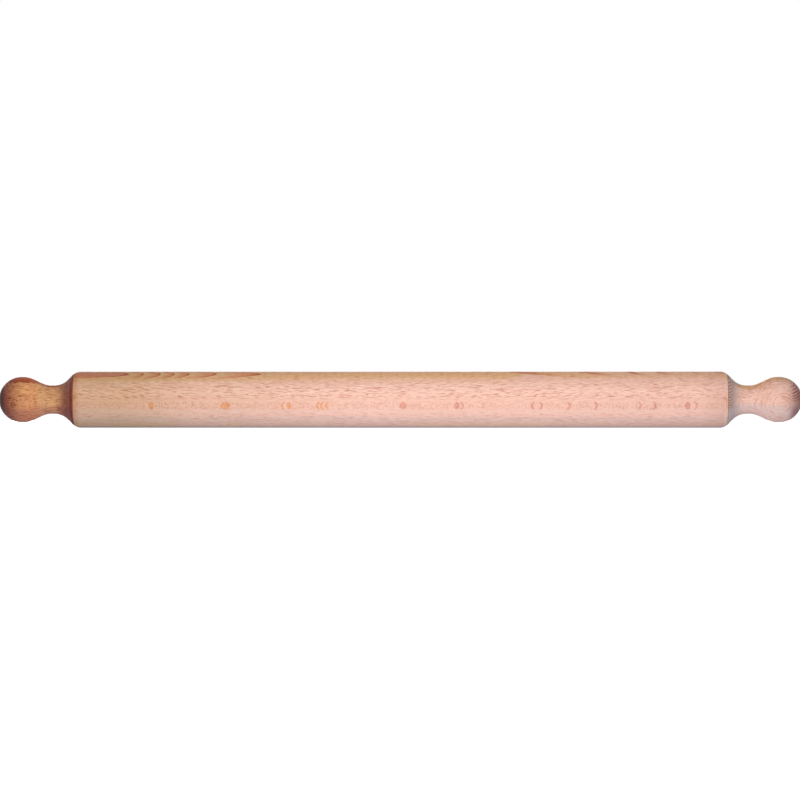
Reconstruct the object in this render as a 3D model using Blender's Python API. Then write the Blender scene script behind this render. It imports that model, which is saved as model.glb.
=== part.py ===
"""Pasta rolling pin: a long turned beech barrel with a knob at each end that revolves on a shoulder bolt.

The pin lies along X with +Z up. The origin is on the table, under the pin's middle. All sizes are in metres.
Each end is modelled with its own +X pointing out of the barrel and zero at the barrel's end face, and is
then carried by an empty that stands on the pin's axis at that face. So the origin of every knob piece is on
the axis that the knob turns on.
"""

import math

import bmesh
import bpy

# Barrel
BARREL_LENGTH = 0.529
BARREL_DIAMETER = 0.0454
EDGE_LENGTH = 0.0058
EDGE_DROP = 0.0019

# Knob, from its face at the barrel to its tip
KNOB_LENGTH = 0.0602
BALL_DIAMETER = 0.0368
TIP_FLATTENING = 0.0002
BALL_LAND = 0.002
NECK_DIAMETER = 0.023
NECK_LAND = 0.0024
COVE_RADIUS = 0.0157
COVE_ANGLE = math.radians(46)

# Gaps: the seam that the knob turns along, between fixed pieces, and round the axle
SEAM_GAP = 0.0003
FIT_GAP = 0.0003
RUNNING_GAP = 0.0003

# Shoulder bolt
THREAD_DIAMETER = 0.006
THREAD_PITCH = 0.001
THREAD_DEPTH = 0.0006
THREAD_LENGTH = 0.011
RELIEF_LENGTH = 0.0015
RELIEF_DEPTH = 0.0002
SHOULDER_SEAT = 0.001
HEAD_OVERHANG = 0.0025
HEAD_HEIGHT = 0.0055
SOCKET_ACROSS_FLATS = 0.004
SOCKET_DEPTH = 0.0033
BOLT_CHAMFER = 0.0005

# Threaded insert
INSERT_LENGTH = 0.013
INSERT_WALL = 0.001
INSERT_THREAD_DEPTH = 0.0007
INSERT_PITCH = 0.0025
INSERT_COLLAR = 0.0016
SLOT_WIDTH = 0.0016
SLOT_DEPTH = 0.0014
BORE_SPARE_DEPTH = 0.002
DRILL_POINT_ANGLE = math.radians(118)

# Washers and bushes
WASHER_RIM = 0.0015
WASHER_THICKNESS = 0.0016
WASHER_CHAMFER = 0.0002
BUSH_WALL = 0.0012
BUSH_LENGTH = 0.010
FLANGE_THICKNESS = 0.0015
BUSH_CHAMFER = 0.0004

# Plug that closes the knob's tip
PLUG_LENGTH = 0.0139
PLUG_CHAMFER = 0.0008

# How far a thread's root and a cutter run past the surface that they join or cut
OVERRUN = 0.0002

# Facets. These three counts divide by four, so that a flat facet faces straight down. The barrel has the
# fewest, because it rests on one: narrower facets would let it roll on a gentle slope.
BARREL_SIDES = 24
KNOB_SIDES = 32
METAL_SIDES = 24
SOCKET_SIDES = 6
THREAD_STEPS_A_TURN = 12
EDGE_STEPS = 5
BALL_STEPS = 7
SWELL_STEPS = 9
COVE_STEPS = 5

# Edges that turn by more than this are drawn sharp.
SHARP_ANGLE = math.radians(30)

# Shares of the thread's pitch that its ridge covers at the root and at the crest
ROOT_WIDTH_SHARE = 0.8
CREST_WIDTH_SHARE = 0.2
FADE_TURNS = 0.5

# What follows from the sizes above. Places along an end are measured outwards from the barrel's end face.
BARREL_RADIUS = BARREL_DIAMETER / 2
AXIS_HEIGHT = BARREL_RADIUS
FACE_RADIUS = BARREL_RADIUS - EDGE_DROP
BALL_RADIUS = BALL_DIAMETER / 2
NECK_RADIUS = NECK_DIAMETER / 2
KNOB_FACE = SEAM_GAP
KNOB_TIP = KNOB_FACE + KNOB_LENGTH
BALL_CENTRE = KNOB_TIP - BALL_RADIUS + TIP_FLATTENING

THREAD_RADIUS = THREAD_DIAMETER / 2
SHOULDER_RADIUS = THREAD_RADIUS + SHOULDER_SEAT
HEAD_RADIUS = SHOULDER_RADIUS + HEAD_OVERHANG
SHOULDER_START = FIT_GAP
PLUG_START = KNOB_TIP - PLUG_LENGTH
HEAD_TOP = PLUG_START - FIT_GAP
HEAD_START = HEAD_TOP - HEAD_HEIGHT

INSERT_BORE_RADIUS = THREAD_RADIUS + FIT_GAP
INSERT_CORE_RADIUS = INSERT_BORE_RADIUS + INSERT_WALL
INSERT_RADIUS = INSERT_CORE_RADIUS + INSERT_THREAD_DEPTH
BARREL_BORE_RADIUS = INSERT_RADIUS + FIT_GAP
BARREL_BORE_DEPTH = INSERT_LENGTH + BORE_SPARE_DEPTH

AXLE_BORE_RADIUS = SHOULDER_RADIUS + RUNNING_GAP
WASHER_RADIUS = HEAD_RADIUS + WASHER_RIM
SLEEVE_RADIUS = AXLE_BORE_RADIUS + BUSH_WALL
KNOB_BORE_RADIUS = SLEEVE_RADIUS + FIT_GAP
RECESS_RADIUS = WASHER_RADIUS + FIT_GAP
PLUG_RADIUS = RECESS_RADIUS - FIT_GAP

THRUST_WASHER_START = RUNNING_GAP
INNER_FLANGE_START = THRUST_WASHER_START + WASHER_THICKNESS + RUNNING_GAP
RECESS_FLOOR = INNER_FLANGE_START + FLANGE_THICKNESS + FIT_GAP
HEAD_WASHER_START = HEAD_START - FIT_GAP - WASHER_THICKNESS
OUTER_FLANGE_END = HEAD_WASHER_START - RUNNING_GAP
COUNTERBORE_FLOOR = OUTER_FLANGE_END - FLANGE_THICKNESS - FIT_GAP


def clear_scene():
    for obj in list(bpy.data.objects):
        bpy.data.objects.remove(obj, do_unlink=True)


def linear(byte):
    """One channel of a screen colour, 0 to 255, as the linear value that a shader takes."""
    value = byte / 255
    return value / 12.92 if value <= 0.04045 else ((value + 0.055) / 1.055) ** 2.4


def make_material(name, screen_colour, roughness, metallic=0.0):
    material = bpy.data.materials.new(name)
    material.use_nodes = True
    shader = material.node_tree.nodes["Principled BSDF"]
    colour = (*(linear(byte) for byte in screen_colour), 1.0)
    shader.inputs["Base Color"].default_value = colour
    shader.inputs["Roughness"].default_value = roughness
    shader.inputs["Metallic"].default_value = metallic
    material.diffuse_color = colour
    return material


def make_empty(name, place, turn=0.0):
    empty = bpy.data.objects.new(name, None)
    empty.location = place
    empty.rotation_euler = (0.0, 0.0, turn)
    bpy.context.scene.collection.objects.link(empty)
    return empty


def shade(mesh):
    mesh.shade_smooth()
    mesh.set_sharp_from_angle(angle=SHARP_ANGLE)


def finish_mesh(name, bm, material, parent):
    """Turns a bmesh into a smooth-shaded object with its faces out, carried by the parent."""
    bmesh.ops.recalc_face_normals(bm, faces=bm.faces[:])
    mesh = bpy.data.meshes.new(name)
    bm.to_mesh(mesh)
    bm.free()
    shade(mesh)
    if material:
        mesh.materials.append(material)
    obj = bpy.data.objects.new(name, mesh)
    obj.parent = parent
    bpy.context.scene.collection.objects.link(obj)
    return obj


def turned(name, outline, material, parent, sides):
    """A solid of revolution about X from (x, radius) points.

    An outline that starts and ends on the axis is closed by it, and any other closes on itself as a ring.
    Each radius is measured to the middle of a facet, so that a bore never comes out too tight.
    """
    bm = bmesh.new()
    rings = []
    for x, radius in outline:
        if radius == 0:
            rings.append([bm.verts.new((x, 0, 0))])
            continue
        corner = radius / math.cos(math.pi / sides)
        angles = [2 * math.pi * (side + 0.5) / sides for side in range(sides)]
        rings.append([bm.verts.new((x, corner * math.cos(a), corner * math.sin(a))) for a in angles])
    pairs = list(zip(rings, rings[1:]))
    if outline[0][1] > 0:
        pairs.append((rings[-1], rings[0]))
    for first, second in pairs:
        for side in range(sides):
            after = (side + 1) % sides
            if len(first) == 1:
                bm.faces.new((first[0], second[side], second[after]))
            elif len(second) == 1:
                bm.faces.new((first[after], first[side], second[0]))
            else:
                bm.faces.new((first[after], first[side], second[side], second[after]))
    return finish_mesh(name, bm, material, parent)


def combine(obj, helper, operation):
    """Joins the helper to the object, or cuts it away, and then clears the helper up."""
    modifier = obj.modifiers.new(helper.name, "BOOLEAN")
    modifier.operation = operation
    modifier.solver = "EXACT"
    modifier.object = helper
    bpy.context.view_layer.update()
    graph = bpy.context.evaluated_depsgraph_get()
    mesh = bpy.data.meshes.new_from_object(obj.evaluated_get(graph))
    obj.modifiers.clear()
    obj.data = mesh
    shade(mesh)
    bpy.data.objects.remove(helper, do_unlink=True)


def screw_ridge(name, core_radius, depth, pitch, start, end, parent):
    """The ridge of a right-hand screw thread, rooted in its core and fading into it at both ends."""
    root_radius = core_radius - OVERRUN
    lowest_crest = core_radius - OVERRUN / 2
    half_root = pitch * ROOT_WIDTH_SHARE / 2
    half_crest = pitch * CREST_WIDTH_SHARE / 2
    turns = (end - start - 2 * half_root) / pitch
    steps = round(turns * THREAD_STEPS_A_TURN)
    bm = bmesh.new()
    sections = []
    for step in range(steps + 1):
        turns_in = turns * step / steps
        fade = min(1.0, turns_in / FADE_TURNS, (turns - turns_in) / FADE_TURNS)
        crest_radius = lowest_crest + fade * (core_radius + depth - lowest_crest)
        angle = 2 * math.pi * turns_in
        middle = start + half_root + pitch * turns_in
        section = []
        for offset, radius in (
            (-half_root, root_radius),
            (-half_crest, crest_radius),
            (half_crest, crest_radius),
            (half_root, root_radius),
        ):
            point = (middle + offset, radius * math.cos(angle), radius * math.sin(angle))
            section.append(bm.verts.new(point))
        sections.append(section)
    for first, second in zip(sections, sections[1:]):
        for corner in range(len(first)):
            after = (corner + 1) % len(first)
            bm.faces.new((first[corner], first[after], second[after], second[corner]))
    bm.faces.new(sections[0])
    bm.faces.new(reversed(sections[-1]))
    return finish_mesh(name, bm, None, parent)


def ring_outline(start, end, bore, radius, chamfer):
    """A flat washer's section, its outer edges eased."""
    return [
        (start, bore),
        (start, radius - chamfer),
        (start + chamfer, radius),
        (end - chamfer, radius),
        (end, radius - chamfer),
        (end, bore),
    ]


def barrel_end_outline():
    """Half of the barrel's section, from the bore's drill point out to the straight side, at the +X end."""
    middle = BARREL_LENGTH / 2
    bore_floor = middle - BARREL_BORE_DEPTH
    drill_point = bore_floor - BARREL_BORE_RADIUS / math.tan(DRILL_POINT_ANGLE / 2)
    points = [
        (drill_point, 0),
        (bore_floor, BARREL_BORE_RADIUS),
        (middle, BARREL_BORE_RADIUS),
    ]
    # The eased edge is an arc that runs smoothly into the barrel's side.
    edge_radius = (EDGE_LENGTH**2 + EDGE_DROP**2) / (2 * EDGE_DROP)
    widest = math.asin(EDGE_LENGTH / edge_radius)
    for step in range(EDGE_STEPS + 1):
        angle = widest * (1 - step / EDGE_STEPS)
        x = middle - EDGE_LENGTH + edge_radius * math.sin(angle)
        points.append((x, BARREL_RADIUS - edge_radius * (1 - math.cos(angle))))
    return points


def tip_arc(smallest_radius, largest_radius, steps):
    """Points on the ball's outer half, from one radius to another, going back from the tip."""
    first = math.asin(smallest_radius / BALL_RADIUS)
    last = math.asin(largest_radius / BALL_RADIUS)
    points = []
    for step in range(steps + 1):
        angle = first + (last - first) * step / steps
        points.append((BALL_CENTRE + BALL_RADIUS * math.cos(angle), BALL_RADIUS * math.sin(angle)))
    return points


def knob_outline():
    """The knob's section: ball, waist and cove outside, then the bore with a recess at each end."""
    points = [(COUNTERBORE_FLOOR, KNOB_BORE_RADIUS), (COUNTERBORE_FLOOR, RECESS_RADIUS)]
    points += tip_arc(RECESS_RADIUS, BALL_RADIUS, BALL_STEPS)

    cove_height = min(COVE_RADIUS * (1 - math.cos(COVE_ANGLE)), FACE_RADIUS - NECK_RADIUS)
    cove_angle = math.acos(1 - cove_height / COVE_RADIUS)
    straight_height = FACE_RADIUS - NECK_RADIUS - cove_height
    straight_length = straight_height / math.tan(cove_angle)
    cove_start = KNOB_FACE + straight_length + COVE_RADIUS * math.sin(cove_angle)

    # From the ball to the waist the radius falls along half a cosine wave.
    swell_start = BALL_CENTRE - BALL_LAND
    swell_end = cove_start + NECK_LAND
    for step in range(SWELL_STEPS + 1):
        share = step / SWELL_STEPS
        x = swell_start + (swell_end - swell_start) * share
        height = (1 + math.cos(math.pi * share)) / 2
        points.append((x, NECK_RADIUS + (BALL_RADIUS - NECK_RADIUS) * height))

    for step in range(COVE_STEPS + 1):
        angle = cove_angle * step / COVE_STEPS
        x = cove_start - COVE_RADIUS * math.sin(angle)
        points.append((x, NECK_RADIUS + COVE_RADIUS * (1 - math.cos(angle))))
    points += [
        (KNOB_FACE, FACE_RADIUS),
        (KNOB_FACE, RECESS_RADIUS),
        (RECESS_FLOOR, RECESS_RADIUS),
        (RECESS_FLOOR, KNOB_BORE_RADIUS),
    ]
    return points


def plug_outline():
    """The plug's section: a straight plug whose end carries on the ball's tip."""
    flat_radius = math.sqrt(BALL_RADIUS**2 - (KNOB_TIP - BALL_CENTRE) ** 2)
    points = [(KNOB_TIP, 0)]
    points += tip_arc(flat_radius, PLUG_RADIUS, EDGE_STEPS)
    points += [
        (PLUG_START + PLUG_CHAMFER, PLUG_RADIUS),
        (PLUG_START, PLUG_RADIUS - PLUG_CHAMFER),
        (PLUG_START, 0),
    ]
    return points


def bolt_outline():
    """The shoulder bolt's section: thread core, relief, ground shoulder and head."""
    core = THREAD_RADIUS - THREAD_DEPTH
    thread_end = SHOULDER_START - THREAD_LENGTH
    relief_start = SHOULDER_START - RELIEF_LENGTH
    return [
        (thread_end, 0),
        (thread_end, core - BOLT_CHAMFER),
        (thread_end + BOLT_CHAMFER, core),
        (relief_start, core),
        (relief_start + RELIEF_DEPTH, core - RELIEF_DEPTH),
        (SHOULDER_START, core - RELIEF_DEPTH),
        (SHOULDER_START, SHOULDER_RADIUS - BOLT_CHAMFER),
        (SHOULDER_START + BOLT_CHAMFER, SHOULDER_RADIUS),
        (HEAD_START, SHOULDER_RADIUS),
        (HEAD_START, HEAD_RADIUS),
        (HEAD_TOP - BOLT_CHAMFER, HEAD_RADIUS),
        (HEAD_TOP, HEAD_RADIUS - BOLT_CHAMFER),
        (HEAD_TOP, 0),
    ]


def bush_outline(flange_face, inwards):
    """A flanged bush's section. Its sleeve runs from the flange along +X, or -X where inwards is -1."""
    flange_back = flange_face + inwards * FLANGE_THICKNESS
    sleeve_end = flange_face + inwards * BUSH_LENGTH
    return [
        (flange_face, AXLE_BORE_RADIUS),
        (flange_face, WASHER_RADIUS - BUSH_CHAMFER),
        (flange_face + inwards * BUSH_CHAMFER, WASHER_RADIUS),
        (flange_back, WASHER_RADIUS),
        (flange_back, SLEEVE_RADIUS),
        (sleeve_end - inwards * BUSH_CHAMFER, SLEEVE_RADIUS),
        (sleeve_end, SLEEVE_RADIUS - BUSH_CHAMFER),
        (sleeve_end, AXLE_BORE_RADIUS),
    ]


def make_barrel(material, axis):
    right_half = barrel_end_outline()
    left_half = [(-x, radius) for x, radius in reversed(right_half)]
    return turned("barrel", right_half + left_half, material, axis, BARREL_SIDES)


def make_knob(side, wood, end):
    turned(f"{side}_knob", knob_outline(), wood, end, KNOB_SIDES)
    turned(f"{side}_end_plug", plug_outline(), wood, end, KNOB_SIDES)


def make_bolt(side, steel, end):
    bolt = turned(f"{side}_shoulder_bolt", bolt_outline(), steel, end, METAL_SIDES)
    ridge = screw_ridge(
        f"{side}_bolt_thread",
        THREAD_RADIUS - THREAD_DEPTH,
        THREAD_DEPTH,
        THREAD_PITCH,
        SHOULDER_START - THREAD_LENGTH + BOLT_CHAMFER,
        SHOULDER_START - RELIEF_LENGTH,
        end,
    )
    combine(bolt, ridge, "UNION")
    hexagon = [
        (HEAD_TOP - SOCKET_DEPTH, 0),
        (HEAD_TOP - SOCKET_DEPTH, SOCKET_ACROSS_FLATS / 2),
        (HEAD_TOP + OVERRUN, SOCKET_ACROSS_FLATS / 2),
        (HEAD_TOP + OVERRUN, 0),
    ]
    socket = turned(f"{side}_bolt_socket", hexagon, None, end, SOCKET_SIDES)
    combine(bolt, socket, "DIFFERENCE")


def make_insert(side, brass, end):
    outline = [
        (-INSERT_LENGTH, INSERT_BORE_RADIUS),
        (-INSERT_LENGTH, INSERT_CORE_RADIUS),
        (-INSERT_COLLAR, INSERT_CORE_RADIUS),
        (-INSERT_COLLAR, INSERT_RADIUS),
        (0, INSERT_RADIUS),
        (0, INSERT_BORE_RADIUS),
    ]
    insert = turned(f"{side}_threaded_insert", outline, brass, end, METAL_SIDES)
    ridge = screw_ridge(
        f"{side}_insert_thread",
        INSERT_CORE_RADIUS,
        INSERT_THREAD_DEPTH,
        INSERT_PITCH,
        -INSERT_LENGTH,
        -INSERT_COLLAR,
        end,
    )
    combine(insert, ridge, "UNION")
    bm = bmesh.new()
    bmesh.ops.create_cube(bm, size=1.0)
    length = 2 * (INSERT_RADIUS + OVERRUN) / math.cos(math.pi / METAL_SIDES)
    bmesh.ops.scale(bm, vec=(2 * SLOT_DEPTH, SLOT_WIDTH, length), verts=bm.verts[:])
    slot = finish_mesh(f"{side}_insert_slot", bm, None, end)
    combine(insert, slot, "DIFFERENCE")


def make_washers_and_bushes(side, steel, nylon, end):
    for name, start in (("thrust_washer", THRUST_WASHER_START), ("head_washer", HEAD_WASHER_START)):
        end_face = start + WASHER_THICKNESS
        outline = ring_outline(start, end_face, AXLE_BORE_RADIUS, WASHER_RADIUS, WASHER_CHAMFER)
        turned(f"{side}_{name}", outline, steel, end, METAL_SIDES)
    inner = bush_outline(INNER_FLANGE_START, 1)
    turned(f"{side}_inner_bush", inner, nylon, end, METAL_SIDES)
    outer = bush_outline(OUTER_FLANGE_END, -1)
    turned(f"{side}_outer_bush", outer, nylon, end, METAL_SIDES)


def main():
    clear_scene()
    barrel_wood = make_material("pink_beech", (244, 196, 175), 0.55)
    left_wood = make_material("tan_beech", (204, 143, 99), 0.5)
    right_wood = make_material("pale_beech", (234, 186, 165), 0.55)
    steel = make_material("ground_steel", (176, 178, 182), 0.3, 1.0)
    brass = make_material("brass", (205, 170, 100), 0.35, 1.0)
    nylon = make_material("white_nylon", (232, 230, 222), 0.5)

    axis = make_empty("pin_axis", (0, 0, AXIS_HEIGHT))
    make_barrel(barrel_wood, axis)
    for side, direction, turn, wood in (("left", -1, math.pi, left_wood), ("right", 1, 0, right_wood)):
        end = make_empty(f"{side}_knob_axis", (direction * BARREL_LENGTH / 2, 0, AXIS_HEIGHT), turn)
        make_knob(side, wood, end)
        make_bolt(side, steel, end)
        make_insert(side, brass, end)
        make_washers_and_bushes(side, steel, nylon, end)


main()
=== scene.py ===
"""Looks of the pasta rolling pin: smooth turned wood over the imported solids, materials, light and camera.

The frame is in metres, with +X along the pin to the right knob, +Y away from the camera and +Z up. The
pin lies on the floor at z = 0. The barrel, the knobs and the end plugs are turned again here with smooth
profiles. The bolts, inserts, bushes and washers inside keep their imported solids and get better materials.
"""

import math
from types import SimpleNamespace

import bmesh
import bpy
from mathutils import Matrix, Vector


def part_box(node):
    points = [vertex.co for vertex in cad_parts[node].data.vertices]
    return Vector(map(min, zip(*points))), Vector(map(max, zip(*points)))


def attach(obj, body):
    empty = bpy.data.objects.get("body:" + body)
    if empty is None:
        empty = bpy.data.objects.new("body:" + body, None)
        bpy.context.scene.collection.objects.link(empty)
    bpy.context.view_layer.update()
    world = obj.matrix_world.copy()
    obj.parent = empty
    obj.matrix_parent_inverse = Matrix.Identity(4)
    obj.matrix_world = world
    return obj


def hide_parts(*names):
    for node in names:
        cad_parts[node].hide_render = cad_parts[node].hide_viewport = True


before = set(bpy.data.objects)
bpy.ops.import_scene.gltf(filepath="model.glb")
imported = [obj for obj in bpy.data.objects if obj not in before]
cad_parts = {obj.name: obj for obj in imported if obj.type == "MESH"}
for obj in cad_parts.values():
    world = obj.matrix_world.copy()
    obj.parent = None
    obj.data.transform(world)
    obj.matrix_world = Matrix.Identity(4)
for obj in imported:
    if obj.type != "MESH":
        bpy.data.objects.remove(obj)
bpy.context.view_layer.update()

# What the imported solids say. The two ends are alike, so sizes along the pin are read at the right end.
BARREL_LOW, BARREL_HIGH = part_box("barrel")
KNOB_LOW, KNOB_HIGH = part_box("right_knob")
PLUG_LOW, PLUG_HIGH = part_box("right_end_plug")
WASHER_LOW, WASHER_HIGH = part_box("right_thrust_washer")
INSERT_LOW, INSERT_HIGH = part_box("right_threaded_insert")
INNER_BUSH_LOW, INNER_BUSH_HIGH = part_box("right_inner_bush")
OUTER_BUSH_LOW, OUTER_BUSH_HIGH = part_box("right_outer_bush")

AXIS_HEIGHT = (BARREL_LOW.z + BARREL_HIGH.z) / 2
BARREL_RADIUS = (BARREL_HIGH.z - BARREL_LOW.z) / 2
BARREL_END = BARREL_HIGH.x
KNOB_FACE = KNOB_LOW.x
FACE_RADIUS = (KNOB_HIGH.z - KNOB_LOW.z) / 2
PLUG_START = PLUG_LOW.x
KNOB_TIP = PLUG_HIGH.x
WASHER_RADIUS = (WASHER_HIGH.z - WASHER_LOW.z) / 2
INSERT_RADIUS = (INSERT_HIGH.z - INSERT_LOW.z) / 2

# The turned profile, as the solids have it
EDGE_LENGTH = 0.0058
EDGE_DROP = BARREL_RADIUS - FACE_RADIUS
BALL_RADIUS = 0.0184
TIP_FLATTENING = 0.0002
BALL_CENTRE = KNOB_TIP - BALL_RADIUS + TIP_FLATTENING
BALL_LAND = 0.002
NECK_RADIUS = 0.0115
NECK_LAND = 0.0024
COVE_RADIUS = 0.0157
COVE_ANGLE = math.radians(46)

# Bores and recesses for the hardware
FIT_GAP = 0.0003
GLUE_LINE = 0.00005
INSERT_BORE_SPARE = 0.002
DRILL_POINT_ANGLE = math.radians(118)
SLEEVE_RADIUS = 0.0055
FLANGE_THICKNESS = 0.0015
BORE_CHAMFER = 0.0004
ARRIS = 0.0002

# How finely the wood is turned
SIDES = 192
SIDE_STEPS = 40
CURVE_STEPS = 28
SHARP_ANGLE = math.radians(28)


def linear(byte):
    """One channel of a screen colour, 0 to 255, as the linear value that a shader takes."""
    value = byte / 255
    return value / 12.92 if value <= 0.04045 else ((value + 0.055) / 1.055) ** 2.4


def colour(red, green, blue):
    """A screen colour, each channel 0 to 255, as a shader takes it."""
    return (linear(red), linear(green), linear(blue), 1.0)


def ratios(red, green, blue):
    """What a tint multiplies each channel by, as a colour node takes it."""
    return (red, green, blue, 1.0)


class Nodes:
    """Adds nodes to a node tree and links them. Each method but set returns its node's result."""

    def __init__(self, tree):
        self.tree = tree

    def add(self, kind, inputs, output=0, **settings):
        node = self.tree.nodes.new(kind)
        for name, value in settings.items():
            setattr(node, name, value)
        for name, value in inputs.items():
            self.set(node.inputs[name], value)
        return node.outputs[output]

    def set(self, socket, value):
        if isinstance(value, bpy.types.NodeSocket):
            self.tree.links.new(value, socket)
        else:
            socket.default_value = value

    def math(self, operation, first, second=0.0, third=0.0):
        return self.add("ShaderNodeMath", {0: first, 1: second, 2: third}, operation=operation)

    def plus(self, first, second):
        return self.math("ADD", first, second)

    def minus(self, first, second):
        return self.math("SUBTRACT", first, second)

    def times(self, *factors):
        product = factors[0]
        for factor in factors[1:]:
            product = self.math("MULTIPLY", product, factor)
        return product

    def times_plus(self, value, factor, added):
        """The value times the factor, plus what is added."""
        return self.math("MULTIPLY_ADD", value, factor, added)

    def share_of(self, value, whole):
        return self.math("DIVIDE", value, whole)

    def larger(self, first, second):
        return self.math("MAXIMUM", first, second)

    def unsigned(self, value):
        return self.math("ABSOLUTE", value)

    def fraction(self, value):
        """What lies past the last whole number."""
        return self.math("FRACT", value)

    def vector(self, operation, first, second=(0.0, 0.0, 0.0)):
        result = 1 if operation == "LENGTH" else 0
        return self.add("ShaderNodeVectorMath", {0: first, 1: second}, result, operation=operation)

    def own_place(self):
        """Where a point lies in its piece's own frame. It moves with the piece."""
        return self.add("ShaderNodeTexCoord", {}, "Object")

    def own_normal(self):
        """Which way the surface faces there."""
        return self.add("ShaderNodeTexCoord", {}, "Normal")

    def turn(self, vector, angle):
        """The vector turned about the pin's axis."""
        inputs = {"Vector": vector, "Angle": angle}
        return self.add("ShaderNodeVectorRotate", inputs, rotation_type="X_AXIS")

    def parts(self, vector):
        split = self.tree.nodes.new("ShaderNodeSeparateXYZ")
        self.set(split.inputs[0], vector)
        return split.outputs

    def join(self, x, y, z):
        return self.add("ShaderNodeCombineXYZ", {0: x, 1: y, 2: z})

    def ease(self, value, start, end, low=0.0, high=1.0):
        """Runs smoothly from low to high while the value runs from start to end."""
        inputs = {"Value": value, "From Min": start, "From Max": end, "To Min": low, "To Max": high}
        return self.add("ShaderNodeMapRange", inputs, interpolation_type="SMOOTHSTEP")

    def noise(self, place, lengths, detail=2.0, roughness=0.5, output="Fac"):
        """Smooth noise, 0 to 1, that changes over those lengths, one for each axis."""
        counted = self.vector("MULTIPLY", place, tuple(1 / length for length in lengths))
        inputs = {"Vector": counted, "Scale": 1.0, "Detail": detail, "Roughness": roughness}
        return self.add("ShaderNodeTexNoise", inputs, output)

    def waves(self, place, lengths, detail=2.0):
        """Smooth noise about zero, up to about a half each way."""
        return self.minus(self.noise(place, lengths, detail), 0.5)

    def wander(self, place, length, reach):
        """Smooth random shifts, up to about half of reach each way, that change over that length."""
        shifts = self.noise(place, (length, length, length), detail=0.0, output="Color")
        return self.vector("MULTIPLY", self.vector("SUBTRACT", shifts, (0.5, 0.5, 0.5)), reach)

    def mix(self, share, first, second, blend="MIX"):
        inputs = {"Factor": share, 6: first, 7: second}
        return self.add("ShaderNodeMix", inputs, 2, data_type="RGBA", blend_type=blend)

    def tint(self, base, share, factors):
        """The base colour, with its channels multiplied by the factors as far as the share goes."""
        return self.mix(share, base, factors, "MULTIPLY")

    def brighten(self, base, factor):
        """The base colour times a number."""
        return self.tint(base, 1.0, self.join(factor, factor, factor))

    def curve(self, value, points):
        """A smooth curve through (value, result) points, which reach from 0 to 1 both ways."""
        node = self.tree.nodes.new("ShaderNodeFloatCurve")
        line = node.mapping.curves[0]
        while len(line.points) < len(points):
            line.points.new(0.5, 0.5)
        for point, (at, result) in zip(line.points, points):
            point.location = (at, result)
            point.handle_type = "AUTO_CLAMPED"
        node.mapping.update()
        self.set(node.inputs["Value"], value)
        return node.outputs["Value"]

    def bump(self, height, strength, depth):
        return self.add("ShaderNodeBump", {"Height": height, "Strength": strength, "Distance": depth})


def new_material(name):
    material = bpy.data.materials.new(name)
    material.use_nodes = True
    return material, Nodes(material.node_tree), material.node_tree.nodes["Principled BSDF"]


def set_surface(graph, shader, base, roughness, normal):
    graph.set(shader.inputs["Base Color"], base)
    graph.set(shader.inputs["Roughness"], roughness)
    graph.set(shader.inputs["Normal"], normal)


# The log that all the wood came from. Its pith lies in front of the pin and above it, so the growth rings
# run out as flames along the barrel's upper edge, and the rays lie flat in the surface in a band just below
# the middle.
PITH_TILT = math.radians(25)
PITH_DISTANCE = 0.105
RING_THICKNESS = 0.0017
BAND_ROUND = PITH_DISTANCE * math.asin(BARREL_RADIUS / PITH_DISTANCE)

# How far the grain bows, in metres across for a square metre along
GRAIN_BOW = -0.12

# How the wood wanders: over what length, and how far the grain goes round and out and the rings go out
LONG_WAVES = (0.015, (0.0009, 0.0011, 0.00015))
SHORT_RIPPLES = (0.005, (0.00012, 0.0004, 0.00008))

# Near the barrel's top, how much faster than the square of the way round the rings fall away
TOP_FALL = PITH_DISTANCE / (2 * BARREL_RADIUS * (PITH_DISTANCE - BARREL_RADIUS))

# Towards the right the rings are thicker and lean, so that their flames start at the very top.
LEANING_ALONG = (0.03, 0.085)
RIGHT_RING_THICKNESS = 0.0045
RIGHT_LEAN = 0.36

# Where the rings break out along the barrel's top, from the one nearest the middle outwards
LEFT_TIPS = (-0.1082, -0.1472, -0.1697, -0.1820, -0.1932, -0.2072, -0.2192)
RIGHT_TIPS = (0.0868, 0.1445, 0.1830, 0.2060, 0.2350, 0.2530)
MIDDLE_LIFT = 0.4
LEFT_END_LIFT = 7.8
RIGHT_END_LIFT = 6.3
MOST_LIFT = 8.0


def ring_lift(graph, along):
    """How many rings the wood has risen by, from the barrel's middle towards its ends."""
    points = [(-BARREL_END, LEFT_END_LIFT)]
    points += [(x, len(LEFT_TIPS) - order) for order, x in enumerate(reversed(LEFT_TIPS))]
    points.append((0.0, MIDDLE_LIFT))
    points += [(x, 1 + order) for order, x in enumerate(RIGHT_TIPS)]
    points.append((BARREL_END, RIGHT_END_LIFT))
    shares = [((x + BARREL_END) / (2 * BARREL_END), lift / MOST_LIFT) for x, lift in points]
    place = graph.share_of(graph.plus(along, BARREL_END), 2 * BARREL_END)
    return graph.times(graph.curve(place, shares), MOST_LIFT)


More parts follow.
